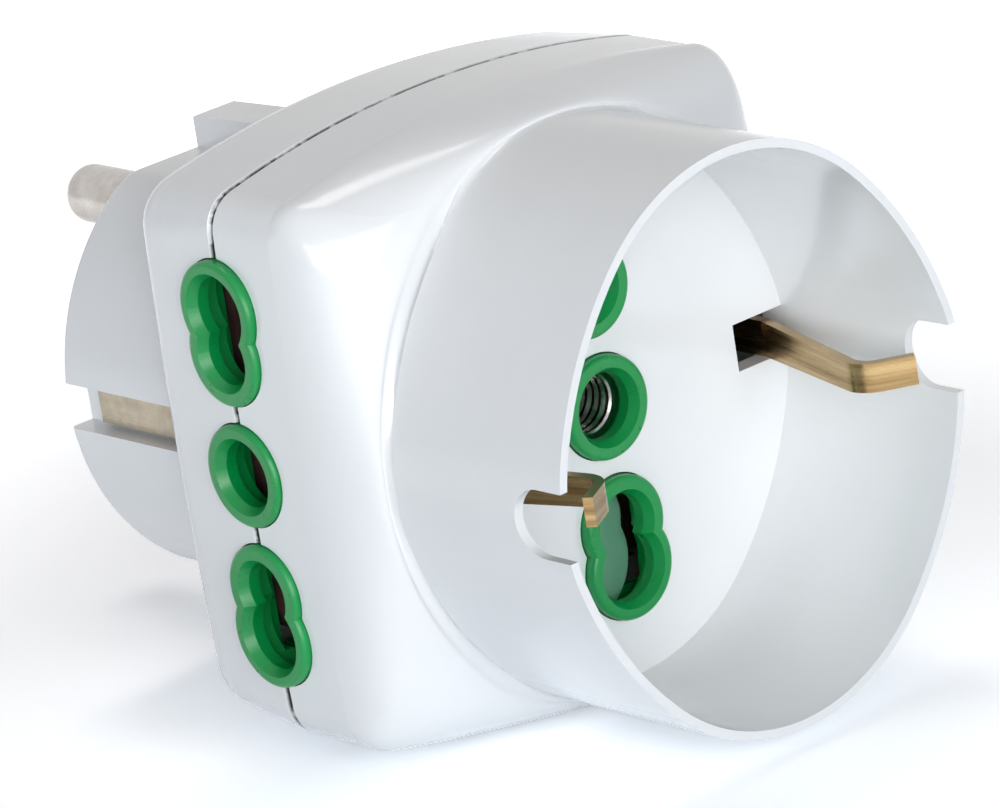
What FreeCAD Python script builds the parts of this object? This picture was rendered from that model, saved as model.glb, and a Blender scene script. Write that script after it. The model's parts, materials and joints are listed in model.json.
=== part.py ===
import FreeCAD, Part
import Sketcher
import os
import math
from FreeCAD import Placement, Rotation, Vector

# Multi socket adapter, in millimetres. +Z is up, the round socket faces -Y, the plug pins point along +Y.
# The origin is the centre of the plug's end face, midway between the two pins.

SIZES = {
    # Plug
    "pin_radius": 2.4, "pin_length": 19.0, "pin_pitch": 19.0, "pin_tip_round": 1.6,
    "plug_radius": 18.8, "plug_depth": 16.6, "plug_wall": 2.2, "plug_flat": 16.3,
    "plug_rib_width": 4.2, "plug_rib_rise": 0.7, "plug_slot_width": 3.7, "plug_slot_floor": 16.5,
    "pin_neck": 0.25, "pin_undercut": 0.15, "pin_shoulder": 12.0, "pin_flange": 3.3, "pin_tube": 4.2, "rivet": 1.25,
    "rivet_head": 1.9, "strap_end": 2.6, "strap_width": 2.9, "strap_ring": 4.2, "plug_flat_round": 5.0,
    "plug_edge_round": 0.5,
    # Outside of the two shells
    "half_width": 23.2, "half_height": 24.2, "shell_wall": 1.8, "rear_depth": 11.1, "rear_round": 3.4,
    "rear_draft": 0.5, "crown_radius": 88.0, "corner_radius": 3.0, "rear_corner_extra": 1.2, "parting_gap": 0.3,
    "parting_chamfer": 0.2, "front_depth": 14.7, "tongue_height": 1.4, "tongue_thick": 0.8, "tongue_gap": 0.1,
    "shoulder_reach": 6.8, "shoulder_lap": 0.4, "shoulder_back": 1.2,
    # Snap hooks of the rear shell and the ledges of the front shell that they catch
    "hook_reach": 6.3, "hook_nose": 1.3, "hook_drop": 5.3, "hook_thick": 1.3, "hook_bite": 0.7, "hook_inner": 8.0,
    "hook_width": 5.0, "ledge_extra": 0.5, "ledge_thick": 1.5, "hook_gap": 0.3,
    # Posts, ribs and tubes inside the shells
    "post_x": 11.8, "post_z": 4.4, "post_side": 2.4, "stop_height": 1.2, "stop_inner": 11.0, "stop_outer": 13.0,
    "channel_inner": 14.4, "channel_outer": 17.2, "channel_half": 3.4, "passage_outer": 17.7, "screw_tube": 4.4,
    # Round collar and its recess
    "collar_half_width": 20.5, "collar_half_height": 22.8, "recess_depth": 18.3, "lip": 0.7, "lip_taper": 0.4,
    "notch_radius": 2.7, "notch_depth": 5.3,
    # Sockets: earth hole on the centre line, two-lobed holes for pins at both pitches
    "small_pitch": 19.0, "large_pitch": 26.0, "small_hole": 2.35, "large_hole": 2.75, "earth_hole": 2.65,
    "collar_round": 4.1, "collar_small": 3.9, "collar_large": 4.1, "front_proud": 0.9, "side_proud": 0.5,
    "mouth_chamfer": 0.45, "mouth_depth": 0.8, "hole_depth": 1.8, "hole_relief": 0.8,
    "insert_frame": 0.8, "insert_stub": 0.3, "side_stub": 0.95, "insert_clearance": 0.1, "side_relief": 1.3,
    "collar_edge": 0.4, "rail_inner": 16.9, "rail_outer": 17.9, "rail_lip": 0.6, "rail_front": 8.5, "rail_rear": 5.8,
    # Shutters and their springs
    "shutter_thick": 1.4, "shutter_gap": 0.3, "shutter_travel": 5.0, "shutter_edge": 2.6, "shutter_web": 4.6,
    "rail_thick": 0.6, "spring_coil": 0.9, "spring_wire": 0.125, "spring_turns": 5, "spring_spare": 0.2,
    "spring_z": 3.0, "seat_thick": 1.6,
    # Live parts
    "sheet": 0.8, "contact_gap": 2.2, "contact_top": 16.0, "contact_bottom": 7.4, "plug_pin_reach": 19.0,
    "leaf_start": 6.2, "leaf_half": 3.2, "tail_half": 2.6, "tail_end": 6.2, "earth_level": 3.9, "earth_leaf_top": 2.7,
    "earth_tail_top": 3.4, "earth_clip_width": 2.9, "clip_tip_width": 2.3, "clip_root": 17.1, "clip_knee": 13.15,
    "clip_tip": 16.8, "clip_knee_rise": 13.95, "clip_tip_rise": 16.2, "clip_inner_bend": 2.4, "clip_outer_bend": 1.6,
    "clip_slot_gap": 0.45, "clip_ring": 2.6, "sleeve_bore": 2.3, "sleeve_wall": 0.45, "sleeve_groove": 0.5,
    "sleeve_groove_depth": 0.18,
    # Inner block and its screw
    "block_thick": 2.9, "block_half_height": 15.7, "block_corner": 3.0, "wall_inner": 4.6, "wall_outer": 6.0,
    "wall_near": 4.4, "wall_far": 11.4, "chamber_inner": 5.0, "chamber_outer": 6.2, "chamber_top": 15.4,
    "rivet_space": 2.3, "nut_across": 5.5, "nut_thick": 1.8, "nut_set": 0.1, "screw_radius": 1.45, "screw_head": 2.75,
    "screw_head_height": 2.0, "screw_length": 20.0, "screw_recess": 4.0, "screw_clearance": 0.15,
}

doc = FreeCAD.newDocument("multi_socket_adapter")
sheet = doc.addObject("Spreadsheet::Sheet", "Sizes")
for row, (alias, value) in enumerate(SIZES.items(), start=1):
    sheet.set(f"A{row}", alias)
    sheet.set(f"B{row}", str(value))
    sheet.setAlias(f"B{row}", alias)
doc.recompute()


class Sizes:
    """The spreadsheet's values as attributes."""

    def __getattr__(self, alias):
        return float(sheet.get(alias))


s = Sizes()
X_AXIS, Y_AXIS, Z_AXIS = Vector(1, 0, 0), Vector(0, 1, 0), Vector(0, 0, 1)

# Stations along Y, worked out from the plug's end face.
body_rear = -s.plug_depth
parting = body_rear - s.rear_depth
recess_floor = parting - s.front_depth
rim = recess_floor - s.recess_depth
front_face = recess_floor - s.front_proud
side_face = s.half_width + s.side_proud
small_z = s.small_pitch / 2
large_z = s.large_pitch / 2
pin_z = s.pin_pitch / 2
beyond = max(s.half_width, s.half_height) + 5.8

# Stack behind the recess floor, and the same stack inwards from each side wall.
front_plate = recess_floor + s.shell_wall
shutter_depth = s.insert_stub + s.shutter_gap
rail_depth = shutter_depth + s.shutter_thick + s.shutter_gap
spring_depth = shutter_depth + s.shutter_thick / 2
strap_y = front_plate + rail_depth + s.rail_thick + 0.8
front_contact_y = strap_y + s.sheet + 0.5
side_plate = s.half_width - s.shell_wall - s.side_relief
side_contact_x = side_plate - rail_depth - s.rail_thick - 0.5

# Stations of the inner block, behind the tips of the plugs that enter the round socket.
block_front = front_face + s.plug_pin_reach + 0.3
block_rear = block_front + s.block_thick
tab_rear = block_rear + s.sheet
strap_rear = tab_rear + s.sheet
nut_front = block_front + s.nut_set

# Ends of the shoulder, the hooks and the shutters' stack along its own travel.
shoulder_start = parting - s.shoulder_reach
shoulder_end = recess_floor + s.shoulder_lap
hook_tip = parting - s.hook_reach
hook_catch = hook_tip + s.hook_nose
hook_z = s.half_height - s.hook_drop
web_edge = -s.shutter_web
plate_front, plate_rear = -s.rail_front, s.rail_rear
spring_rest = s.shutter_travel + (s.spring_turns + 1) * 2 * s.spring_wire + s.spring_spare
side_seat_y = parting + web_edge - spring_rest


def expression(text):
    """Name the sheet in front of each alias in a formula."""
    words = text.replace("(", " ( ").replace(")", " ) ").split()
    return " ".join(f"Sizes.{word}" if word in SIZES else word for word in words)


def bind(part, **formulas):
    """Tie properties of an object to formulas of the sheet's aliases."""
    for name, formula in formulas.items():
        part.setExpression(name, expression(formula))
    return part


def feature(name, shape):
    """An object that holds a shape worked out from the sheet."""
    part = doc.addObject("Part::Feature", name)
    part.Shape = shape
    return part


def box(name, low, high):
    """A block between two corners."""
    part = doc.addObject("Part::Box", name)
    part.Length, part.Width, part.Height = (b - a for a, b in zip(low, high))
    part.Placement = Placement(Vector(*low), Rotation())
    return part


def cylinder(name, radius, length, base, axis=Y_AXIS):
    """A cylinder with formulas for its size, from base along axis."""
    part = doc.addObject("Part::Cylinder", name)
    bind(part, Radius=radius, Height=length)
    part.Placement = Placement(Vector(*base), Rotation(Z_AXIS, axis))
    return part


def fuse(name, parts):
    """One solid from several."""
    joined = doc.addObject("Part::MultiFuse", name)
    joined.Shapes = parts
    joined.Refine = True
    return joined


def cut(name, base, tools):
    """Take tools away from base."""
    tool = tools[0] if len(tools) == 1 else fuse(f"{name}_tools", tools)
    result = doc.addObject("Part::Cut", name)
    result.Base = base
    result.Tool = tool
    result.Refine = True
    return result


def named(part, label):
    """Give a finished sub-part its label."""
    part.Label = label
    return part


# Outlines in the XZ plane: eight tangent arcs, for the squarish body and for the round collar.

def arc(points):
    return Part.Arc(*points).toShape()


def corner_centre(half_width, half_height, crown, side, corner):
    """Centre of the corner arc that is tangent to the crown arc and to the side arc."""
    top = Vector(0, half_height - crown, 0)
    flank = Vector(half_width - side, 0, 0)
    reach_top, reach_side = crown - corner, side - corner
    span = flank - top
    along = (reach_top ** 2 - reach_side ** 2 + span.Length ** 2) / (2 * span.Length)
    across = math.sqrt(reach_top ** 2 - along ** 2)
    unit = Vector(span).normalize()
    normal = Vector(-unit.y, unit.x, 0) * across
    candidates = sorted((top + unit * along + normal, top + unit * along - normal), key=lambda c: c.x + c.y)
    return top, flank, candidates[1] if reach_top > 0 else candidates[0]


def outline(y, half_width, half_height, crown, side, corner, inset=0.0):
    """Closed outline at y; inset moves it inwards by a wall."""
    half_width, half_height, crown, side, corner = (
        value - inset for value in (half_width, half_height, crown, side, corner))
    top, flank, centre = corner_centre(half_width, half_height, crown, side, corner)
    on_top = top + (centre - top) * (crown / (crown - corner))
    on_side = flank + (centre - flank) * (side / (side - corner))
    middle = ((on_top + on_side) * 0.5 - centre).normalize() * corner + centre
    quarter = [(0, half_height), (on_top.x, on_top.y), (middle.x, middle.y), (on_side.x, on_side.y), (half_width, 0)]

    def at(point, sx, sz):
        return Vector(sx * point[0], y, sz * point[1])

    a, b, m, c, d = quarter
    edges = [
        arc((at(b, -1, 1), at(a, 1, 1), at(b, 1, 1))),
        arc((at(b, 1, 1), at(m, 1, 1), at(c, 1, 1))),
        arc((at(c, 1, 1), at(d, 1, 1), at(c, 1, -1))),
        arc((at(c, 1, -1), at(m, 1, -1), at(b, 1, -1))),
        arc((at(b, 1, -1), at(a, 1, -1), at(b, -1, -1))),
        arc((at(b, -1, -1), at(m, -1, -1), at(c, -1, -1))),
        arc((at(c, -1, -1), at(d, -1, 1), at(c, -1, 1))),
        arc((at(c, -1, 1), at(m, -1, 1), at(b, -1, 1))),
    ]
    return Part.Wire(edges)


SIDE_RADIUS = 400.0

# Crown and side radii of the collar as shares of its half sizes, and the radius of its corners.
COLLAR_CROWN, COLLAR_SIDE, COLLAR_CORNER = 0.76, 0.86, 30.0


def body_section(y, shrink=0.0, corner=None, inset=0.0):
    """The squarish body, drawn in by shrink on each side."""
    corner = s.corner_radius if corner is None else corner
    return outline(y, s.half_width - shrink, s.half_height - shrink, s.crown_radius, SIDE_RADIUS, corner, inset)


# Between the squarish body and the round collar: distance in front of the shoulder's start, share of the way
# from body to collar for the half sizes, then the radii of crown, side and corner.
SHOULDER = [(3.5, 0.18, 70.0, 220.0, 3.8), (5.4, 0.42, 44.0, 75.0, 5.6), (6.8, 0.80, 24.0, 27.0, 11.0)]


def shoulder_section(y, share, crown, side, corner, inset=0.0):
    """One station of the shoulder."""
    width = s.half_width + share * (s.collar_half_width - s.half_width)
    height = s.half_height + share * (s.collar_half_height - s.half_height)
    return outline(y, width, height, crown, side, corner, inset)


def collar_section(y, inset=0.0):
    """The round collar, a little taller than wide."""
    crown = s.collar_half_height * COLLAR_CROWN
    side = s.collar_half_width * COLLAR_SIDE
    return outline(y, s.collar_half_width, s.collar_half_height, crown, side, COLLAR_CORNER, inset)


def loft(sections, ruled=False):
    return Part.makeLoft(sections, True, ruled)


def prism(name, points, low, high, along):
    """A solid from a closed outline of (first, second) points, between low and high along an axis."""
    place = {
        "X": lambda a, b, d: Vector(d, a, b),
        "Y": lambda a, b, d: Vector(a, d, b),
        "Z": lambda a, b, d: Vector(a, b, d),
    }[along]
    corners = [place(a, b, low) for a, b in points]
    face = Part.Face(Part.makePolygon(corners + corners[:1]))
    return feature(name, face.extrude(place(0, 0, high) - place(0, 0, low)))


def strip(path, thick):
    """Outline of a bent strip whose middle line is path, with mitred bends."""
    def normal(a, b):
        dx, dy = b[0] - a[0], b[1] - a[1]
        span = math.hypot(dx, dy)
        return (-dy / span, dx / span)

    normals = [normal(a, b) for a, b in zip(path, path[1:])]
    left, right = [], []
    for index, (px, py) in enumerate(path):
        before = normals[max(index - 1, 0)]
        after = normals[min(index, len(normals) - 1)]
        mx, my = before[0] + after[0], before[1] + after[1]
        scale = thick / (mx * mx + my * my)
        left.append((px + mx * scale, py + my * scale))
        right.append((px - mx * scale, py - my * scale))
    return left + right[::-1]


def pin_holes(name, start, axis, length, earth, small, large):
    """Five cylinders in a vertical row: the earth hole and the two lobes above and below it."""
    parts = [cylinder(f"{name}_earth", earth, length, start, axis)]
    for side in (1, -1):
        for word, z, radius in (("small", small_z, small), ("large", large_z, large)):
            base = (start[0], start[1], side * z)
            parts.append(cylinder(f"{name}_{word}_{'top' if side > 0 else 'bottom'}", radius, length, base, axis))
    return fuse(name, parts)


def edge_fillet(name, base, radius, chosen):
    """Round the edges of base that pass a test."""
    doc.recompute()
    part = doc.addObject("Part::Fillet", name)
    part.Base = base
    part.Edges = [(n, radius, radius) for n, edge in enumerate(base.Shape.Edges, start=1) if chosen(edge)]
    return part


# Outer shells

front_end = parting - s.parting_gap / 2
rear_end = parting + s.parting_gap / 2


def front_sections(inset=0.0, back=0.0):
    """The shoulder between the squarish body and the round collar; back moves it towards the plug."""
    sections = [shoulder_section(shoulder_start + back, 0.0, s.crown_radius, SIDE_RADIUS, s.corner_radius, inset)]
    for forward, share, crown, side, corner in SHOULDER:
        sections.append(shoulder_section(shoulder_start - forward + back, share, crown, side, corner, inset))
    return sections + [collar_section(shoulder_end + back, inset)]


def side_stops(name, sx, low, high, heights):
    """Ribs on a side wall that a side insert's frame rests against, above and below the middle."""
    x_low, x_high = sorted((sx * (side_plate - s.insert_frame), sx * (side_plate + s.side_relief + 0.2)))
    stops = []
    for sz in (-1, 1):
        z_low, z_high = sorted(sz * z for z in heights)
        stops.append(box(f"{name}_{sz}", (x_low, low, z_low), (x_high, high, z_high)))
    return stops


def make_front_shell():
    body = feature("front_body", loft([body_section(front_end, s.parting_chamfer),
                                       body_section(front_end - s.parting_chamfer), body_section(shoulder_start)],
                                      True))
    shoulder = feature("front_shoulder", loft(front_sections()))
    collar = feature("front_collar", loft([collar_section(shoulder_end), collar_section(rim)], True))
    outside = fuse("front_outside", [body, shoulder, collar])

    wall = s.shell_wall
    hollow = feature("front_hollow", loft([body_section(parting, inset=wall),
                                           body_section(shoulder_start + s.shoulder_back, inset=wall)], True))
    deep = loft(front_sections(wall, s.shoulder_back))
    front_part = Part.makeBox(2 * beyond, shoulder_start + s.shoulder_back - front_plate, 2 * beyond,
                              Vector(-beyond, front_plate, -beyond))
    hollow_shoulder = feature("front_hollow_shoulder", deep.common(front_part))
    recess = feature("recess", loft([collar_section(rim - 1, s.lip),
                                     collar_section(recess_floor, s.lip + s.lip_taper)], True))
    rebate_depth = s.tongue_height + 2 * s.tongue_gap
    rebate_inset = wall - s.tongue_thick - s.tongue_gap
    rebate = feature("rebate", loft([body_section(parting, inset=rebate_inset),
                                     body_section(parting - rebate_depth, inset=rebate_inset)], True))
    tools = [hollow, hollow_shoulder, recess, rebate]

    notch_middle = rim + s.notch_depth - s.notch_radius
    notch_inner, notch_through = 14.0, 12.0
    for side in (-1, 1):
        low, high = sorted((side * notch_inner, side * (notch_inner + notch_through)))
        tools.append(box(f"notch_slot_{side}", (low, rim - 2, -s.notch_radius),
                         (high, notch_middle, s.notch_radius)))
        tools.append(cylinder(f"notch_end_{side}", "notch_radius", str(notch_through),
                              (low, notch_middle, 0), X_AXIS))
        slot_low, slot_high = sorted((side * (s.clip_root - 3.0), side * (s.clip_root + 2.3)))
        slot_half = s.earth_clip_width / 2 + s.clip_slot_gap
        tools.append(box(f"clip_slot_{side}", (slot_low, recess_floor - 1, -slot_half),
                         (slot_high, front_plate + 1, slot_half)))
    tools.append(pin_holes("floor_holes", (0, recess_floor - 1, 0), Y_AXIS, "shell_wall + 2",
                           "collar_round + insert_clearance", "collar_small + insert_clearance",
                           "collar_large + insert_clearance"))
    tools.append(pin_holes("front_side_holes", (-beyond, parting, 0), X_AXIS, str(2 * beyond),
                           "collar_round + insert_clearance", "collar_small + insert_clearance",
                           "collar_large + insert_clearance"))
    shell = cut("front_shell_open", outside, tools)

    posts = []
    root = front_plate - 0.5
    for sx in (-1, 1):
        for sz in (-1, 1):
            x_low, x_high = sorted((sx * s.post_x, sx * (s.post_x + s.post_side)))
            z_low, z_high = sorted((sz * s.post_z, sz * (s.post_z + s.post_side)))
            posts.append(box(f"post_{sx}_{sz}", (x_low, root, z_low), (x_high, block_front, z_high)))
            ledge_low, ledge_high = sorted((sx * (s.hook_inner - s.ledge_extra),
                                            sx * (s.hook_inner + s.hook_width + s.ledge_extra)))
            low, high = sorted((sz * (hook_z + s.hook_thick + s.hook_gap), sz * (s.half_height - wall - 0.4)))
            posts.append(box(f"ledge_{sx}_{sz}", (ledge_low, hook_catch, low),
                             (ledge_high, hook_catch + s.ledge_thick, high)))
        seat_low, seat_high = sorted((sx * (side_plate - rail_depth - s.rail_thick), sx * (side_plate - 0.2)))
        posts.append(box(f"spring_seat_{sx}", (seat_low, root, s.spring_z - 1.5),
                         (seat_high, side_seat_y, s.spring_z + 1.5)))
        posts += side_stops(f"front_stop_{sx}", sx, parting + plate_front - s.stop_height, parting + plate_front,
                            (s.rail_inner, s.rail_outer))
    posts.append(box("front_spring_seat", (web_edge - spring_rest - s.seat_thick, root, s.spring_z - 1.05),
                     (web_edge - spring_rest, front_plate + rail_depth + s.rail_thick, s.spring_z + 1.15)))
    return named(fuse("front_shell", [shell] + posts), "front_shell")


def hook_profile(sz):
    """Side view of a snap hook: an arm from the wall, with a nose that points outwards."""
    arm, nose, root = hook_z + s.hook_thick, hook_z + s.hook_thick + s.hook_bite, s.half_height - s.shell_wall - 0.5
    profile = [(hook_tip, hook_z), (hook_tip, arm), (hook_tip + 0.3, nose), (hook_catch, nose), (hook_catch, arm),
               (parting + 1.5, arm), (parting + 2.5, root), (parting + 5.0, root - 0.1), (parting + 5.0, hook_z)]
    return [(y, sz * z) for y, z in profile]


def make_rear_shell():
    wall = s.shell_wall
    wide_corner = s.corner_radius + s.rear_corner_extra
    straight = loft([body_section(rear_end, s.parting_chamfer), body_section(rear_end + s.parting_chamfer),
                     body_section(body_rear - s.rear_round, s.rear_draft, wide_corner)], True)
    stations = [math.radians(angle) for angle in (0, 22.5, 45, 67.5, 90)]
    edge = loft([body_section(body_rear - s.rear_round * (1 - math.sin(a)), s.rear_draft, wide_corner,
                              s.rear_round * (1 - math.cos(a))) for a in stations])
    body = fuse("rear_body", [feature("rear_straight", straight), feature("rear_edge", edge)])
    barrel = cylinder("plug_barrel", "plug_radius", "plug_depth + 1", (0, body_rear - 1, 0))
    flats = []
    for sz in (-1, 1):
        for sx in (-1, 1):
            x_low, x_high = sorted((sx * s.plug_rib_width / 2, sx * beyond))
            z_low, z_high = sorted((sz * s.plug_flat, sz * beyond))
            flats.append(box(f"plug_flat_{sx}_{sz}", (x_low, body_rear, z_low), (x_high, 1, z_high)))
    flatted = cut("plug_flatted", barrel, flats)
    eased = edge_fillet("plug_eased", flatted, s.plug_flat_round,
                        lambda e: e.BoundBox.YLength > s.plug_depth - 1.5
                        and abs(abs(e.BoundBox.ZMin) - s.plug_flat) < 0.1 and abs(e.BoundBox.XMin) > 8)
    plug = edge_fillet("plug_edge", eased, s.plug_edge_round,
                       lambda e: abs(e.BoundBox.YMin) < 1e-4 and e.BoundBox.YLength < 1e-4)
    ribs = []
    for sz in (-1, 1):
        profile = [(-0.4, sz * 14), (-0.4, sz * s.plug_radius),
                   (body_rear - 1, sz * (s.plug_radius + s.plug_rib_rise)), (body_rear - 1, sz * 14)]
        ribs.append(prism(f"plug_rib_{sz}", profile, -s.plug_rib_width / 2, s.plug_rib_width / 2, "X"))
    outside = fuse("rear_outside", [body, plug] + ribs)

    hollow = feature("rear_hollow", loft([body_section(parting - 1, inset=wall),
                                          body_section(body_rear - wall, shrink=s.rear_draft, inset=wall)], True))
    bore = cylinder("plug_bore", "plug_radius - plug_wall", "plug_depth", (0, body_rear - wall - 0.5, 0))
    doc.recompute()
    bore_half = s.plug_flat - s.plug_wall
    bore_limit = Part.makeBox(2 * beyond, s.plug_depth + wall + 1 - s.plug_wall, 2 * bore_half,
                              Vector(-beyond, body_rear - wall - 1, -bore_half))
    bore_space = feature("plug_space", bore.Shape.common(bore_limit))
    shell = cut("rear_shell_open", outside, [hollow, bore_space])

    inner = []
    for sx in (-1, 1):
        x_low, x_high = sorted((sx * s.channel_inner, sx * s.channel_outer))
        inner.append(box(f"slot_channel_{sx}", (x_low, body_rear - wall, -s.channel_half),
                         (x_high, -1, s.channel_half)))
        inner += side_stops(f"rear_stop_{sx}", sx, parting + plate_rear, body_rear - wall + 0.4,
                            (s.stop_inner, s.stop_outer))
    for sz in (-1, 1):
        inner.append(cylinder(f"pin_tube_{sz}", "pin_tube", "pin_shoulder - 1", (0, -s.pin_shoulder, sz * pin_z)))
        for sx in (-1, 1):
            x_low, x_high = sorted((sx * s.hook_inner, sx * (s.hook_inner + s.hook_width)))
            inner.append(prism(f"hook_{sx}_{sz}", hook_profile(sz), x_low, x_high, "X"))
    inner.append(cylinder("centre_tube", "screw_tube", str(-1 - strap_rear), (0, strap_rear, 0)))
    ring_inset = wall - s.tongue_thick
    tongue = loft([body_section(parting - s.tongue_height, inset=ring_inset),
                   body_section(parting + 1, inset=ring_inset)], True)
    tongue = tongue.cut(loft([body_section(parting - s.tongue_height - 1, inset=wall),
                              body_section(parting + 2, inset=wall)], True))
    inner.append(feature("tongue", tongue))
    filled = fuse("rear_shell_filled", [shell] + inner)

    tools = [pin_holes("rear_side_holes", (-beyond, parting, 0), X_AXIS, str(2 * beyond),
                       "collar_round + insert_clearance", "collar_small + insert_clearance",
                       "collar_large + insert_clearance")]
    half_slot = s.plug_slot_width / 2
    for sx in (-1, 1):
        x_low, x_high = sorted((sx * s.plug_slot_floor, sx * beyond))
        tools.append(box(f"earth_slot_{sx}", (x_low, body_rear - 0.01, -half_slot), (x_high, 1, half_slot)))
        x_low, x_high = sorted((sx * s.plug_slot_floor, sx * s.passage_outer))
        tools.append(box(f"leg_passage_{sx}", (x_low, body_rear - wall - 1, -half_slot),
                         (x_high, body_rear + 1, half_slot)))
    for sz in (-1, 1):
        tools.append(cylinder(f"pin_bore_{sz}", "pin_radius - pin_neck + 0.02", "pin_shoulder + 2",
                              (0, -s.pin_shoulder - 1, sz * pin_z)))
    tools.append(cylinder("screw_bore", "screw_radius + 0.2", "screw_length + 4", (0, strap_rear - 1, 0)))
    tools.append(cylinder("screw_recess", "screw_head + 0.35", "screw_recess + 1", (0, -s.screw_recess, 0)))
    return named(cut("rear_shell", filled, tools), "rear_shell")


# Sockets, made once at the front and set in place: the wall's inner face is at y = 0 and the plug enters along +Y.

def placed(part, turn, origin):
    """Set a finished sub-part from its own frame into the adapter."""
    part.Placement = Placement(Vector(*origin), Rotation(Z_AXIS, turn))
    return part


def socket_insert(name, proud, relief):
    """Collars that show in the wall, joined behind it by a frame whose lips guide the shutter's ends."""
    wall = s.shell_wall
    face = -(wall + proud + relief)
    stub = "side_stub" if relief else "insert_stub"
    depth = f"shell_wall + {proud} + {stub}"
    leg_face = s.side_stub - relief - 0.2
    collars = pin_holes(f"{name}_collars", (0, face, 0), Y_AXIS, depth,
                        "collar_round", "collar_small", "collar_large")
    rounded = edge_fillet(f"{name}_rounded", collars, s.collar_edge,
                          lambda e: e.BoundBox.YLength < 1e-4 and abs(e.BoundBox.YMin - face) < 1e-4)
    strip_low = 3.4 if relief == 0 else 4.2
    parts = [rounded, box(f"{name}_strip", (strip_low, 0, -s.rail_outer),
                          (plate_rear, s.insert_frame, s.rail_outer))]
    for side in (-1, 1):
        outer, inner, lip = side * s.rail_outer, side * s.rail_inner, side * (s.rail_inner - s.rail_lip)
        profile = [(0, inner), (rail_depth, inner), (rail_depth, lip), (rail_depth + s.rail_thick, lip),
                   (rail_depth + s.rail_thick, outer), (0, outer)]
        parts.append(prism(f"{name}_rail_{side}", profile, plate_front, plate_rear, "X"))
        if relief:
            low, high = sorted((side * 3.4, side * 6.4))
            parts.append(box(f"{name}_leg_{side}", (2.0, leg_face, low), (strip_low + 0.8, 0.4, high)))
            low, high = sorted((side * 15.6, side * s.rail_outer))
            parts.append(box(f"{name}_end_leg_{side}", (1.0, leg_face, low), (strip_low + 0.8, 0.4, high)))
    solid = fuse(f"{name}_solid", parts)
    tools = [
        pin_holes(f"{name}_holes", (0, face - 1, 0), Y_AXIS, "hole_depth + 2",
                  "earth_hole", "small_hole", "large_hole"),
        pin_holes(f"{name}_reliefs", (0, face + s.hole_depth, 0), Y_AXIS, "6", "earth_hole + hole_relief",
                  "small_hole + hole_relief", "large_hole + hole_relief"),
    ]
    for word, z, radius in (("earth", 0, "earth_hole"), ("small", small_z, "small_hole"),
                            ("large", large_z, "large_hole")):
        for side in (1, -1) if z else (1,):
            mouth = doc.addObject("Part::Cone", f"{name}_mouth_{word}_{'top' if side > 0 else 'bottom'}")
            bind(mouth, Radius1=f"{radius} + mouth_chamfer", Radius2=radius, Height="mouth_depth")
            mouth.Placement = Placement(Vector(0, face, side * z), Rotation(Z_AXIS, Y_AXIS))
            tools.append(mouth)
    return cut(name, solid, tools)


def shutter(name):
    """One slider that closes both pin holes; its sloped faces let a pair of pins push it aside."""
    top = shutter_depth + s.shutter_thick
    edge, bridge = s.shutter_edge, -3.1
    tall, low, waist = 16.6, 6.6, 10.9

    def at(x, z):
        return Vector(x, 0, z)

    def line(a, b):
        return Part.makeLine(at(*a), at(*b))

    def cover(side):
        """Leading edge of one cover: a long and a short bulge, like the hole that it closes."""
        return [
            Part.Arc(at(edge - 2.2, side * tall), at(edge, side * 13.6), at(edge - 0.3, side * waist)).toShape(),
            Part.Arc(at(edge - 0.3, side * waist), at(edge - 0.1, side * 9.4), at(edge - 1.6, side * low)).toShape(),
        ]

    edges = [line((web_edge, -tall), (web_edge, tall))]
    for side in (1, -1):
        edges += cover(side)
        edges.append(line((web_edge, side * tall), (edge - 2.2, side * tall)))
        edges.append(line((edge - 1.6, side * low), (bridge, side * low)))
    edges.append(line((bridge, low), (bridge, -low)))
    plan = Part.Face(Part.Wire(Part.__sortEdges__(edges))).extrude(Vector(0, top + 1, 0))
    plan = feature(f"{name}_plan", plan)
    section = [(web_edge - 1, shutter_depth), (-1.5, shutter_depth), (edge + 0.5, shutter_depth + 0.4),
               (edge + 0.5, top), (web_edge - 1, top)]
    slope = prism(f"{name}_slope", section, -18, 18, "Z")
    common = doc.addObject("Part::Common", name)
    common.Base = plan
    common.Tool = slope
    return common


def shutter_spring(name):
    """Compression coil between the slider and its seat, along the slider's travel."""
    helix = doc.addObject("Part::Helix", f"{name}_path")
    clear = s.spring_wire + 0.01
    helix.Pitch = (spring_rest - 2 * clear) / s.spring_turns
    helix.Height = spring_rest - 2 * clear
    helix.SegmentLength = 1
    bind(helix, Radius="spring_coil")
    wire = doc.addObject("Part::Circle", f"{name}_wire")
    bind(wire, Radius="spring_wire")
    wire.Placement = Placement(Vector(s.spring_coil, 0, 0), Rotation(Z_AXIS, Y_AXIS))
    coil = doc.addObject("Part::Sweep", f"{name}_coil")
    coil.Sections = [wire]
    coil.Spine = (helix, [])
    coil.Solid = True
    coil.Frenet = True
    doc.recompute()
    return coil, clear


def set_spring(name, turn, origin):
    """Lay the coil along the travel, from the seat to the slider."""
    coil, clear = shutter_spring(name)
    lay = Placement(Vector(web_edge - spring_rest + clear, spring_depth, s.spring_z), Rotation(Z_AXIS, X_AXIS))
    shape = coil.Shape.copy()
    shape.Placement = Placement(Vector(*origin), Rotation(Z_AXIS, turn)).multiply(lay)
    return feature(name, shape)


def mirrored(name, base):
    """The left-hand copy of a right-hand piece."""
    copy = doc.addObject("Part::Mirroring", name)
    copy.Source = base
    copy.Normal = X_AXIS
    return copy


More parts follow.
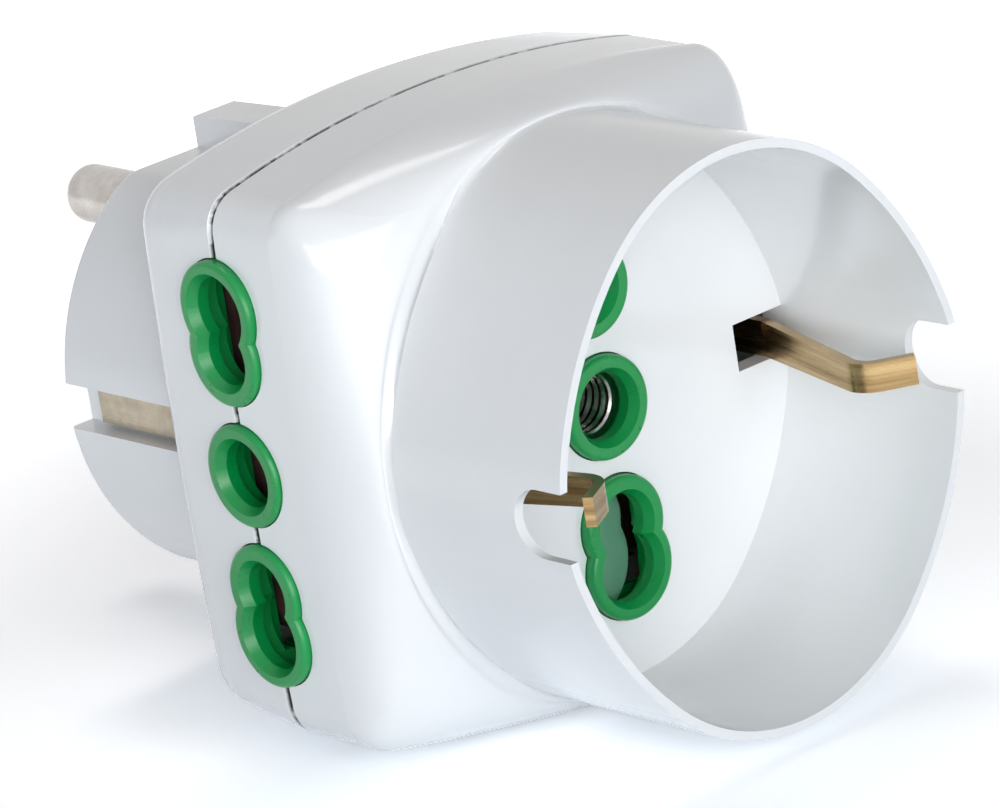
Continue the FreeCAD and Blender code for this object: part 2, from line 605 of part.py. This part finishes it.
def make_sockets():
    front = (0, front_plate, 0)
    right = (side_plate, parting, 0)
    pieces = [
        named(placed(socket_insert("front_insert", s.front_proud, 0), 0, front), "front_insert"),
        named(placed(shutter("front_shutter"), 0, front), "front_shutter"),
        named(set_spring("front_shutter_spring", 0, front), "front_shutter_spring"),
    ]
    side_pieces = [
        named(placed(socket_insert("right_insert", s.side_proud, s.side_relief), 90, right), "right_insert"),
        named(placed(shutter("right_shutter"), 90, right), "right_shutter"),
        named(set_spring("right_shutter_spring", 90, right), "right_shutter_spring"),
    ]
    left_pieces = [named(mirrored(label, piece), label) for label, piece in
                   (("left_insert", side_pieces[0]), ("left_shutter", side_pieces[1]))]
    across = 2 * (side_plate - spring_depth)
    left_pieces.append(named(set_spring("left_shutter_spring", 90, (right[0] - across, parting, 0)),
                             "left_shutter_spring"))
    return pieces + side_pieces + left_pieces


# Live parts

def contact_pair(name, low, high, z_root, z_tip, along):
    """Two sprung leaves bent from a bar, closing on a pin between them."""
    gap, thick = s.contact_gap, s.sheet
    reach = z_tip - z_root
    parts = []
    for side in (-1, 1):
        path = [(side * (gap + thick * 1.2), z_root), (side * (gap + thick * 1.0), z_root + 0.25 * reach),
                (side * (gap + thick * 0.5), z_root + 0.62 * reach), (side * (gap + thick * 1.1), z_tip)]
        if along == "Y":
            parts.append(prism(f"{name}_{side}", strip(path, thick), low, high, "Y"))
        else:
            path = [(a + parting, b) for a, b in path]
            parts.append(prism(f"{name}_{side}", strip(path, thick), low, high, "X"))
    return parts


def pole_bar(name, side):
    """Brass bar of one pole: a T in plan, leaves for the three sockets, and a tail down to the plug's pin."""
    z_low, z_high = sorted((side * s.contact_top, side * (s.contact_top + s.sheet)))
    half = s.contact_gap + 1.7 * s.sheet
    outer = side_contact_x - 1.0
    parts = [
        box(f"{name}_stem", (-half, front_contact_y, z_low), (half, tab_rear, z_high)),
        box(f"{name}_cross", (-outer, parting - half, z_low), (outer, parting + half, z_high)),
    ]
    tab_low, tab_high = sorted((side * s.tail_end, side * (s.contact_top + s.sheet)))
    parts.append(box(f"{name}_tab", (-s.tail_half, block_rear, tab_low), (s.tail_half, tab_rear, tab_high)))
    root, tip = side * (s.contact_top + 0.2), side * s.contact_bottom
    parts += contact_pair(f"{name}_front", front_contact_y, parting - half - 0.4, root, tip, "Y")
    for word, low, high in (("left", -outer, -s.leaf_start), ("right", s.leaf_start, outer)):
        parts += contact_pair(f"{name}_{word}", low, high, root, tip, "X")
    solid = fuse(f"{name}_solid", parts)
    hole = cylinder(f"{name}_rivet_hole", "rivet + 0.05", "2", (0, block_rear - 0.5, side * pin_z))
    return named(cut(name, solid, [hole]), name)


def earth_bar(name):
    """The same bar for the earth holes, with a tail that the centre screw clamps."""
    z_low, z_high = -s.earth_level, -s.earth_level + s.sheet
    half = s.contact_gap + 1.7 * s.sheet
    outer = side_contact_x - 1.0
    parts = [
        box(f"{name}_stem", (-half, strap_y + s.sheet, z_low), (half, tab_rear, z_high)),
        box(f"{name}_cross", (-outer, parting - half, z_low), (outer, parting + half, z_high)),
        box(f"{name}_tab", (-half, block_rear, z_low), (half, tab_rear, s.earth_tail_top)),
    ]
    root, tip = z_high - 0.2, s.earth_leaf_top
    parts += contact_pair(f"{name}_front", front_contact_y, parting - half - 0.4, root, tip, "Y")
    for word, low, high in (("left", -outer, -s.leaf_start), ("right", s.leaf_start, outer)):
        parts += contact_pair(f"{name}_{word}", low, high, root, tip, "X")
    solid = fuse(f"{name}_solid", parts)
    hole = cylinder(f"{name}_screw_hole", "screw_radius + screw_clearance", "2", (0, block_rear - 0.5, 0))
    return named(cut(name, solid, [hole]), name)


def front_earth_clip(name):
    """One strip: a ring behind the earth hole, and an arm through each slot that narrows towards the rim's notch."""
    width, narrow = s.earth_clip_width / 2, s.clip_tip_width / 2
    middle_y = strap_y + s.sheet / 2
    knee_y, tip_y = front_face - s.clip_knee_rise, front_face - s.clip_tip_rise
    path = [(s.clip_root, middle_y), (s.clip_root, recess_floor - 0.4), (s.clip_knee, knee_y), (s.clip_tip, tip_y)]
    path = [(-x, y) for x, y in path[::-1]] + path
    arms = prism(f"{name}_arms", strip(path, s.sheet), -width, width, "Z")
    knees = edge_fillet(f"{name}_bent_out", arms, s.clip_inner_bend,
                        lambda e: e.BoundBox.ZLength > 2 * width - 1e-4
                        and abs(e.BoundBox.YMin - knee_y) < 1.2 and abs(e.BoundBox.XMin) < s.clip_knee)
    bent = edge_fillet(f"{name}_bent", knees, s.clip_outer_bend,
                       lambda e: e.BoundBox.ZLength > 2 * width - 1e-4
                       and e.BoundBox.XLength < 1e-4 and abs(e.BoundBox.YMin - knee_y) < 0.9
                       and s.clip_knee < abs(e.BoundBox.XMin) < s.clip_knee + 1.2)
    taper = [(strap_y + 2, width), (recess_floor, width), (knee_y, narrow), (tip_y - 2, narrow)]
    taper += [(y, -z) for y, z in taper[::-1]]
    arms_tapered = doc.addObject("Part::Common", f"{name}_tapered")
    arms_tapered.Base = bent
    arms_tapered.Tool = prism(f"{name}_taper", taper, -beyond, beyond, "X")
    ring = cylinder(f"{name}_ring", "sleeve_bore + clip_ring", "sheet", (0, strap_y, 0))
    solid = fuse(f"{name}_solid", [arms_tapered, ring])
    hole = cylinder(f"{name}_hole", "sleeve_bore", "sheet + 2", (0, strap_y - 1, 0))
    return named(cut(name, solid, [hole]), name)


def plug_earth_strap(name):
    """Strip across the inside of the plug whose legs lie in the earth slots at its sides."""
    leg_x = s.plug_slot_floor + 0.1 + s.sheet / 2
    base_y = tab_rear + s.sheet / 2
    path = [(leg_x, -s.strap_end), (leg_x, base_y), (-leg_x, base_y), (-leg_x, -s.strap_end)]
    solid = prism(f"{name}_strip", strip(path, s.sheet), -s.strap_width / 2, s.strap_width / 2, "Z")
    ring = cylinder(f"{name}_ring", "strap_ring", "sheet", (0, tab_rear, 0))
    joined = fuse(f"{name}_solid", [solid, ring])
    hole = cylinder(f"{name}_hole", "screw_radius + screw_clearance", "sheet + 2", (0, tab_rear - 1, 0))
    return named(cut(name, joined, [hole]), name)


def turned_body(name, points, at=(0, 0, 0)):
    """A body turned about the Y axis from a closed profile of (radius, station) points."""
    body = doc.addObject("PartDesign::Body", name)
    plane = next(f for f in body.Origin.OriginFeatures if f.Role == "XY_Plane")
    sketch = body.newObject("Sketcher::SketchObject", f"{name}_profile")
    sketch.AttachmentSupport = [(plane, "")]
    sketch.MapMode = "FlatFace"
    corners = [Vector(r, y, 0) for r, y in points]
    for a, b in zip(corners, corners[1:] + corners[:1]):
        sketch.addGeometry(Part.LineSegment(a, b), False)
    count = len(corners)
    for n in range(count):
        sketch.addConstraint(Sketcher.Constraint("Coincident", n, 2, (n + 1) % count, 1))
    for n, corner in enumerate(corners):
        for kind, value, axis in (("DistanceX", corner.x, -2), ("DistanceY", corner.y, -1)):
            if abs(value) < 1e-9:
                sketch.addConstraint(Sketcher.Constraint("PointOnObject", n, 1, axis))
            else:
                sketch.addConstraint(Sketcher.Constraint(kind, -1, 1, n, 1, value))
    turn = body.newObject("PartDesign::Revolution", f"{name}_turn")
    turn.Profile = sketch
    turn.ReferenceAxis = (sketch, ["V_Axis"])
    turn.Angle = 360
    body.Placement = Placement(Vector(*at), Rotation())
    return body


def arc_points(centre, radius, start, end, steps):
    """Stations along a rounded corner of a turned profile."""
    angles = [math.radians(start + (end - start) * n / steps) for n in range(steps + 1)]
    return [(centre[0] + radius * math.cos(a), centre[1] + radius * math.sin(a)) for a in angles]


def earth_sleeve(name):
    """Ringed tube between the earth hole and the clip's ring, with a flange that shows in the hole."""
    bore, outer = s.sleeve_bore, s.sleeve_bore + s.sleeve_wall
    flange = s.earth_hole + s.hole_relief - 0.25
    front, flange_rear = front_plate - 0.2, front_plate + 0.2
    points = [(bore + 0.15, front), (flange, front), (flange, flange_rear), (outer, flange_rear), (outer, strap_y),
              (bore, strap_y)]
    groove = s.sleeve_groove
    y = strap_y - groove
    while y > front + 1.6 * groove:
        points += [(bore, y), (bore + s.sleeve_groove_depth, y - groove / 2), (bore, y - groove)]
        y -= 1.6 * groove
    points.append((bore, front + 0.15))
    return named(turned_body(name, points), name)


def plug_pin(name, side):
    """Solid turned pin: rounded tip, shoulder against its tube, and a neck headed over at the bar's tab."""
    r, tip, rounding = s.pin_radius, s.pin_length, s.pin_tip_round
    shoulder, neck = -s.pin_shoulder, r - s.pin_neck
    head, rivet, flange = s.rivet_head, s.rivet, s.pin_flange
    points = [(0, block_rear - 0.9), (head - 0.5, block_rear - 0.9), (head, block_rear - 0.4), (head, block_rear),
              (rivet, block_rear), (rivet, tab_rear), (head, tab_rear), (head, shoulder - 1.0),
              (flange, shoulder - 1.0), (flange, shoulder), (neck, shoulder), (neck, s.pin_undercut),
              (r, s.pin_undercut)]
    points += arc_points((r - rounding, tip - rounding), rounding, 0, 90, 6) + [(0, tip)]
    return named(turned_body(name, points, (0, 0, side * pin_z)), name)


def centre_screw(name):
    """Pan-head screw from the plug's end face, through strap, tab and block, into the nut."""
    under = -s.screw_recess
    end = under - s.screw_length
    r, head, top = s.screw_radius, s.screw_head, under + s.screw_head_height
    points = [(0, end), (r - 0.4, end), (r, end + 0.4), (r, under), (head, under), (head, top - 0.9),
              (head - 0.3, top - 0.4), (head - 1.0, top), (0, top)]
    body = turned_body(f"{name}_turned", points)
    recess = []
    for turn in (0, 90):
        slot = box(f"{name}_slot_{turn}", (-1.6, top - 1.1, -0.3), (1.6, top + 1, 0.3))
        slot.Placement = Placement(Vector(), Rotation(Y_AXIS, turn)).multiply(slot.Placement)
        recess.append(slot)
    return named(cut(name, body, recess), name)


def square_nut(name):
    """Square nut held in the block's pocket."""
    half = s.nut_across / 2
    nut = box(f"{name}_blank", (-half, nut_front, -half), (half, nut_front + s.nut_thick, half))
    bind(nut, Length="nut_across", Width="nut_thick", Height="nut_across")
    hole = cylinder(f"{name}_thread", "screw_radius + 0.02", "nut_thick + 2", (0, nut_front - 1, 0))
    return named(cut(name, nut, [hole]), name)


def contact_block(name):
    """Moulded block between the shells: it keeps the poles apart and holds the nut."""
    half_x, half_z = side_plate - s.insert_frame - 0.4, s.block_half_height
    front = front_contact_y + 0.6
    plate = box(f"{name}_plate", (-half_x, block_front, -half_z), (half_x, block_rear, half_z))
    rounded = edge_fillet(f"{name}_rounded", plate, s.block_corner,
                          lambda e: e.BoundBox.YLength > s.block_thick - 1e-4)
    parts = [rounded]
    for side in (-1, 1):
        low, high = sorted((side * s.wall_inner, side * s.wall_outer))
        for sx in (-1, 1):
            x_low, x_high = sorted((sx * s.wall_near, sx * s.wall_far))
            parts.append(box(f"{name}_wall_{sx}_{side}", (x_low, front, low), (x_high, block_rear, high)))
            chamber_low, chamber_high = sorted((sx * s.chamber_inner, sx * s.chamber_outer))
            end_low, end_high = sorted((side * s.chamber_inner, side * s.chamber_top))
            parts.append(box(f"{name}_chamber_{sx}_{side}", (chamber_low, front, end_low),
                             (chamber_high, parting - s.leaf_half - 0.4, end_high)))
        bridge = s.wall_near + 0.2
        parts.append(box(f"{name}_bridge_{side}", (-bridge, parting, low), (bridge, block_rear, high)))
    solid = fuse(f"{name}_solid", parts)
    half = s.contact_gap + 1.7 * s.sheet + 0.3
    pocket = s.nut_across / 2 + 0.1
    tools = [
        box(f"{name}_earth_slot", (-half, block_front - 1, -s.earth_level - 0.3),
            (half, block_rear + 1, s.sheet + 0.3 - s.earth_level)),
        box(f"{name}_nut_pocket", (-pocket, block_front - 1, -pocket), (pocket, nut_front + s.nut_thick, pocket)),
        cylinder(f"{name}_screw_hole", "screw_radius + 0.2", "block_thick + 2", (0, block_front - 1, 0)),
    ]
    for side in (-1, 1):
        tools.append(cylinder(f"{name}_rivet_space_{side}", "rivet_space", "block_thick + 2",
                              (0, block_front - 1, side * pin_z)))
    return named(cut(name, solid, tools), name)


def export(parts):
    """Check every object, then write each sub-part to its own file."""
    doc.recompute()
    failed = [o.Name for o in doc.Objects if "Invalid" in o.State or "Error" in o.State]
    if failed:
        raise RuntimeError(f"these objects failed: {failed}")
    for part in parts:
        shape = part.Shape
        if shape.isNull() or not shape.isValid():
            raise RuntimeError(f"{part.Label} has no valid shape")
    os.makedirs("parts", exist_ok=True)
    for part in parts:
        part.Shape.exportStep(f"parts/{part.Label}.step")
        print(f"{part.Label:28s} {len(part.Shape.Solids)} solid(s) {part.Shape.Volume / 1000:8.3f} cm3")


parts = [make_front_shell(), make_rear_shell()]
parts += make_sockets()
parts += [pole_bar("pole_bar_top", 1), pole_bar("pole_bar_bottom", -1), earth_bar("earth_bar")]
parts += [front_earth_clip("front_earth_clip"), earth_sleeve("earth_sleeve"), plug_earth_strap("plug_earth_strap")]
parts += [plug_pin("plug_pin_top", 1), plug_pin("plug_pin_bottom", -1)]
parts += [contact_block("contact_block"), centre_screw("centre_screw"), square_nut("square_nut")]
export(parts)
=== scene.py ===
import json
import math

import bpy
from mathutils import Matrix, Vector


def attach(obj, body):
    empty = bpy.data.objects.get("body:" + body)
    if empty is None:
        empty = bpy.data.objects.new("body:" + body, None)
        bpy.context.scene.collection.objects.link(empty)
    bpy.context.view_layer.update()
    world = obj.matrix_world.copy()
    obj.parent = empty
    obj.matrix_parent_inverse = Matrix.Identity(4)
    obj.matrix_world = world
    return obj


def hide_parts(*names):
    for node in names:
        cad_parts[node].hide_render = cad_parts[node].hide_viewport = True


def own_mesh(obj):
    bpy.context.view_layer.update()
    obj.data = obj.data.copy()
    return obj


# Dresses the adapter: +Z is up, the round socket faces -Y, the plug pins point along +Y, all in metres.

MM = 0.001
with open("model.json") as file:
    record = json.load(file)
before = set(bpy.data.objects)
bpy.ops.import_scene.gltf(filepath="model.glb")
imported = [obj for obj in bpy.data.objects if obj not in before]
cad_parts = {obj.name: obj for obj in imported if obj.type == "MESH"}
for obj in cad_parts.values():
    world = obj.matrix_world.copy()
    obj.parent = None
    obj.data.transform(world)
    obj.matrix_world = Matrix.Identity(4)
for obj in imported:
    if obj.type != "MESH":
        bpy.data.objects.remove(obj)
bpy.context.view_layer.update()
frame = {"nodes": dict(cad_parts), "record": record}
scene = bpy.context.scene
nodes = frame["nodes"]

# Y of the joint between the two shells, and Z of the floor, just under the body.
PARTING = -27.7 * MM
FLOOR_HEIGHT = -24.35 * MM


# Camera at the photograph's place: angles in degrees, lengths in millimetres, focal length in photo pixels

PHOTO_WIDTH = 1000
FOCAL_PIXELS = 7320.0
AZIMUTH, ELEVATION, ROLL = -38.802, 18.087, -9.007
DISTANCE = 559.515
target = Vector((-2.397, -33.3, -0.371)) * MM


def aim(azimuth, elevation, roll):
    """Rotation of a camera that looks along the azimuth, down by the elevation, turned by the roll."""
    a, e, r = (math.radians(v) for v in (azimuth, elevation, roll))
    back = Vector((math.sin(a) * math.cos(e), -math.cos(a) * math.cos(e), math.sin(e)))
    right = (-back).cross(Vector((0, 0, 1))).normalized()
    down = (-back).cross(right)
    turned_right = right * math.cos(r) - down * math.sin(r)
    turned_down = right * math.sin(r) + down * math.cos(r)
    return Matrix((turned_right, -turned_down, back)).transposed().to_4x4(), back


turn, back = aim(AZIMUTH, ELEVATION, ROLL)
camera_data = bpy.data.cameras.new("camera")
camera_data.sensor_fit = "HORIZONTAL"
camera_data.sensor_width = 36.0
camera_data.lens = FOCAL_PIXELS * camera_data.sensor_width / PHOTO_WIDTH
camera_data.clip_start = 0.02
camera_data.clip_end = 20.0
camera = bpy.data.objects.new("camera", camera_data)
camera.matrix_world = Matrix.Translation(target + back * DISTANCE * MM) @ turn
scene.collection.objects.link(camera)
scene.camera = camera


# Node trees

# Places of the two colours and of the result among a colour mix node's sockets.
FIRST_COLOUR, SECOND_COLOUR, MIXED_COLOUR = 6, 7, 2


class Tree:
    """A node tree, with short calls for the nodes used here."""

    def __init__(self, tree):
        self.tree = tree
        self.tree.nodes.clear()

    def add(self, kind, **settings):
        """A new node of this kind, with these properties."""
        node = self.tree.nodes.new(kind)
        for name, value in settings.items():
            setattr(node, name, value)
        return node

    def feed(self, value, socket):
        """Link an output to a socket, or write a plain value on it."""
        if hasattr(value, "is_output"):
            self.tree.links.new(value, socket)
        else:
            socket.default_value = value

    def maths(self, operation, *values):
        node = self.add("ShaderNodeMath", operation=operation)
        for value, socket in zip(values, node.inputs):
            self.feed(value, socket)
        return node.outputs[0]

    def mix(self, amount, first, second):
        """The first colour where the amount is 0, and the second where it is 1."""
        node = self.add("ShaderNodeMix", data_type="RGBA", clamp_factor=True)
        self.feed(amount, node.inputs["Factor"])
        self.feed(first, node.inputs[FIRST_COLOUR])
        self.feed(second, node.inputs[SECOND_COLOUR])
        return node.outputs[MIXED_COLOUR]

    def ramp(self, value, stops):
        """A colour that runs between two stops, each a position and a colour."""
        node = self.add("ShaderNodeValToRGB")
        for element, (position, colour) in zip(node.color_ramp.elements, stops):
            element.position, element.color = position, (*colour, 1.0)
        self.feed(value, node.inputs[0])
        return node.outputs[0]

    def part_of(self, vector, axis):
        """One coordinate of a vector."""
        node = self.add("ShaderNodeSeparateXYZ")
        self.feed(vector, node.inputs[0])
        return node.outputs[axis]

    def shown(self):
        """1 for camera, glossy and transmission rays, which see the studio as white, and 0 for the rest."""
        path = self.add("ShaderNodeLightPath")
        seen = self.maths("MAXIMUM", path.outputs["Is Camera Ray"], path.outputs["Is Glossy Ray"])
        return self.maths("MAXIMUM", seen, path.outputs["Is Transmission Ray"])


class Maker(Tree):
    """A material with one principled shader, and the textures that feed it."""

    def __init__(self, name):
        self.material = bpy.data.materials.new(name)
        self.material.use_nodes = True
        super().__init__(self.material.node_tree)
        output = self.add("ShaderNodeOutputMaterial")
        self.shader = self.add("ShaderNodeBsdfPrincipled")
        self.feed(self.shader.outputs[0], output.inputs["Surface"])
        self.place = self.add("ShaderNodeTexCoord").outputs["Object"]

    def stretched(self, scale):
        """The place on the object, scaled along each axis."""
        mapping = self.add("ShaderNodeMapping")
        mapping.inputs["Scale"].default_value = scale
        self.feed(self.place, mapping.inputs["Vector"])
        return mapping.outputs[0]

    def noise(self, scale, detail=3.0, rough=0.5, source=None):
        node = self.add("ShaderNodeTexNoise")
        node.inputs["Scale"].default_value = scale
        node.inputs["Detail"].default_value = detail
        node.inputs["Roughness"].default_value = rough
        self.feed(source or self.place, node.inputs["Vector"])
        return node.outputs["Fac"]

    def span(self, value, low, high, source=(0.3, 0.7)):
        """The value, taken from the source range to the range from low to high."""
        node = self.add("ShaderNodeMapRange")
        for name, number in zip(("From Min", "From Max", "To Min", "To Max"), (*source, low, high)):
            node.inputs[name].default_value = number
        self.feed(value, node.inputs["Value"])
        return node.outputs[0]

    def bump(self, height, distance, under=None):
        """A relief this deep, over the relief under it if there is one."""
        node = self.add("ShaderNodeBump")
        node.inputs["Distance"].default_value = distance
        node.inputs["Strength"].default_value = 1.0
        self.feed(height, node.inputs["Height"])
        if under is not None:
            self.feed(under, node.inputs["Normal"])
        return node.outputs[0]

    def set(self, **values):
        """Feed the shader's sockets by name, with _ for a space, and give back the material."""
        for name, value in values.items():
            self.feed(value, self.shader.inputs[name.replace("_", " ")])
        return self.material


# Materials

def moulded(name, dark, light, rough, coat, waviness=60.0, over=None):
    """Moulded plastic: faint cloudiness, a slow ripple of the gloss, and a very fine grain."""
    grain, grain_depth, ripple_depth = 2200.0, 0.005 * MM, 0.12 * MM
    m = Maker(name)
    ripple = m.bump(m.noise(waviness * 1.7, 1.0), ripple_depth)
    colour = m.ramp(m.noise(waviness, 4.0), [(0.3, dark), (0.7, light)])
    return m.set(
        Base_Color=over(m, colour) if over else colour,
        Roughness=m.span(m.noise(waviness * 5, 3.0), rough * 0.8, rough * 1.2),
        Normal=m.bump(m.noise(grain, 2.0), grain_depth, under=ripple),
        Coat_Weight=coat, Coat_Roughness=0.08, IOR=1.5)


def metal(name, dark, light, rough, grain, along, streak=0.0):
    """Plated or bare metal: fine lines along one or two axes, and stains or streaks in the colour."""
    line_depth, lengthening = 0.01 * MM, 0.03
    m = Maker(name)

    def lengthwise(scale):
        return m.stretched([scale * (lengthening if axis in along else 1.0) for axis in "XYZ"])

    lines = m.noise(1.0, 3.0, source=lengthwise(grain))
    stain = m.noise(1.0, 4.0, source=lengthwise(streak)) if streak else m.noise(420.0, 5.0, 0.65)
    return m.set(
        Base_Color=m.ramp(stain, [(0.32, dark), (0.68, light)]),
        Metallic=1.0,
        Roughness=m.span(lines, rough * 0.75, rough * 1.25),
        Normal=m.bump(lines, line_depth))


def seam_shadow(m, colour):
    """Paint shade into the narrow joint between the two shells, unevenly: a painted shadow of the gap."""
    # Half width of the full painted shade, where it fades out, and the near-black colour of the painted
    # shade in the joint.
    core, edge, painted_shade = 0.18 * MM, 0.34 * MM, (0.06, 0.05, 0.048, 1.0)
    offset = m.maths("ABSOLUTE", m.maths("ADD", m.part_of(m.place, "Y"), -PARTING))
    within = m.span(offset, 1.0, 0.0, source=(core, edge))
    patchy = m.span(m.noise(900.0, 3.0), 0.25, 1.0, source=(0.38, 0.52))
    # Mixes the painted shade into the shell's colour along the joint, in broken patches.
    return m.mix(m.maths("MULTIPLY", within, patchy), colour, painted_shade)


PLASTICS = {
    "shell_white": dict(
        dark=(0.855, 0.86, 0.87), light=(0.885, 0.89, 0.90), rough=0.20, coat=0.4, over=seam_shadow),
    "insert_green": dict(
        dark=(0.0, 0.27, 0.055), light=(0.002, 0.31, 0.07), rough=0.32, coat=0.05, waviness=140.0),
    "shutter_grey": dict(
        dark=(0.12, 0.32, 0.20), light=(0.16, 0.38, 0.25), rough=0.45, coat=0.0, waviness=200.0),
    "block_brown": dict(
        dark=(0.075, 0.036, 0.034), light=(0.11, 0.056, 0.05), rough=0.45, coat=0.1, waviness=180.0),
}
METALS = {
    "spring_steel": dict(
        dark=(0.42, 0.41, 0.40), light=(0.60, 0.59, 0.58), rough=0.25, grain=3000.0, along="X"),
    "contact_brass": dict(
        dark=(0.45, 0.30, 0.11), light=(0.62, 0.45, 0.19), rough=0.3, grain=2600.0, along="Z"),
    "earth_brass": dict(
        dark=(0.20, 0.115, 0.04), light=(0.56, 0.40, 0.20), rough=0.26, grain=2400.0, along="XY",
        streak=1500.0),
    "earth_nickel": dict(
        dark=(0.30, 0.26, 0.20), light=(0.44, 0.39, 0.31), rough=0.35, grain=2400.0, along="Y"),
    "sleeve_nickel": dict(
        dark=(0.55, 0.54, 0.53), light=(0.70, 0.69, 0.68), rough=0.18, grain=3000.0, along="Y"),
    "pin_nickel": dict(
        dark=(0.42, 0.39, 0.36), light=(0.56, 0.53, 0.50), rough=0.24, grain=2800.0, along="X"),
    "screw_steel": dict(
        dark=(0.50, 0.50, 0.51), light=(0.66, 0.66, 0.67), rough=0.28, grain=3000.0, along="X"),
}
FINISH = {name: moulded(name, **look) for name, look in PLASTICS.items()}
FINISH.update({name: metal(name, **look) for name, look in METALS.items()})
for subpart in frame["record"]["subparts"]:
    node = nodes[subpart["node"]]
    node.data.materials.clear()
    node.data.materials.append(FINISH[subpart["material_slot"]])


# Each spring is stood in for by a copy of its mesh, held by the housing.

def coil(spring):
    """A copy of a spring's mesh that stands for the node, held by the housing."""
    name, axis = spring["node"], "xyz".index(spring["mode"][-1])
    seat = spring[f"fixed_end_{spring['mode'][-1]}_m"]
    piece = bpy.data.objects.new(name.replace("_spring", "_coil"), nodes[name].data.copy())
    scene.collection.objects.link(piece)
    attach(piece, "housing")
    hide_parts(name)
    direction, anchor = [0.0] * 3, [0.0] * 3
    direction[axis], anchor[axis] = 1.0, seat
    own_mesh(piece)


for joint in frame["record"]["behaviour"]["joints"]:
    for spring in joint["deforming_nodes"]:
        coil(spring)


# Floor, backdrop and light

def pale_floor(name, colour, shown_colour, near_glow, far_glow):
    """Pale diffuse surface that is seen as white far from the object, and keeps the shadow near it."""
    near, far, mottling = 55 * MM, 130 * MM, 0.985
    m = Maker(name)
    away = m.add("ShaderNodeVectorMath", operation="DISTANCE")
    m.feed(m.place, away.inputs[0])
    m.feed((target.x, target.y, FLOOR_HEIGHT), away.inputs[1])
    glow = m.span(away.outputs["Value"], near_glow, far_glow, source=(near, far))
    mottle = m.ramp(m.noise(9.0), [(0.3, tuple(v * mottling for v in colour)), (0.7, colour)])
    seen = m.shown()
    return m.set(
        Base_Color=m.mix(seen, mottle, (*shown_colour, 1.0)), Roughness=0.9, Specular_IOR_Level=0.0,
        Emission_Color=(1.0, 1.0, 1.0, 1.0), Emission_Strength=m.maths("MULTIPLY", seen, glow))


def floor_sheet(name, half, height):
    """A square sheet, wide enough to be the backdrop too."""
    mesh = bpy.data.meshes.new(name)
    corners = [(-half, -half, height), (half, -half, height), (half, half, height), (-half, half, height)]
    mesh.from_pydata(corners, [], [(0, 1, 2, 3)])
    sheet = bpy.data.objects.new(name, mesh)
    scene.collection.objects.link(sheet)
    return sheet


def studio(name, around, overhead):
    """A room that is darker and warmer overhead than around and below, and is seen as white."""
    world = bpy.data.worlds.new(name)
    world.use_nodes = True
    tree = Tree(world.node_tree)
    output = tree.add("ShaderNodeOutputWorld")
    room = tree.add("ShaderNodeBackground")
    white = tree.add("ShaderNodeBackground")
    upward = tree.part_of(tree.add("ShaderNodeTexCoord").outputs["Generated"], "Z")
    tree.feed(tree.ramp(upward, [(0.0, around), (0.9, overhead)]), room.inputs["Color"])
    tree.feed((1.0, 1.0, 1.0, 1.0), white.inputs["Color"])
    mixed = tree.add("ShaderNodeMixShader")
    for value, socket in zip((tree.shown(), room.outputs[0], white.outputs[0]), mixed.inputs):
        tree.feed(value, socket)
    tree.feed(mixed.outputs[0], output.inputs["Surface"])
    return world


def softbox(name, at, size, power, colour=(1.0, 1.0, 1.0)):
    """A rectangular lamp that faces the object."""
    data = bpy.data.lights.new(name, "AREA")
    data.shape = "RECTANGLE"
    data.size, data.size_y = size
    data.energy = power
    data.color = colour
    lamp = bpy.data.objects.new(name, data)
    place = Vector(at)
    facing = (target - place).to_track_quat("-Z", "Y").to_matrix().to_4x4()
    lamp.matrix_world = Matrix.Translation(place) @ facing
    scene.collection.objects.link(lamp)


paint = pale_floor("floor_white", (0.80, 0.85, 0.91), (1.9, 1.9, 1.92), near_glow=0.07, far_glow=0.6)
floor = floor_sheet("floor", half=6.0, height=FLOOR_HEIGHT)
floor.data.materials.append(paint)
scene.world = studio("studio", around=(0.38, 0.43, 0.48), overhead=(0.10, 0.092, 0.085))

softbox("key", at=(-0.26, -0.98, 0.12), size=(0.80, 0.80), power=6.6, colour=(0.955, 0.985, 1.0))
softbox("left", at=(-0.76, -0.66, 0.04), size=(0.70, 0.70), power=6.5, colour=(0.945, 0.975, 1.0))
softbox("overhead", at=(0.12, 0.10, 0.68), size=(0.24, 0.24), power=0.65, colour=(1.0, 0.93, 0.88))

# Two narrow lamps for the bright streaks on the shoulder's corner.
softbox("upper_strip", at=(-0.36, -0.92, 0.21), size=(0.20, 0.006), power=0.035)
softbox("lower_strip", at=(-0.33, -0.95, 0.15), size=(0.10, 0.010), power=0.02)

scene.view_settings.view_transform = "Standard"
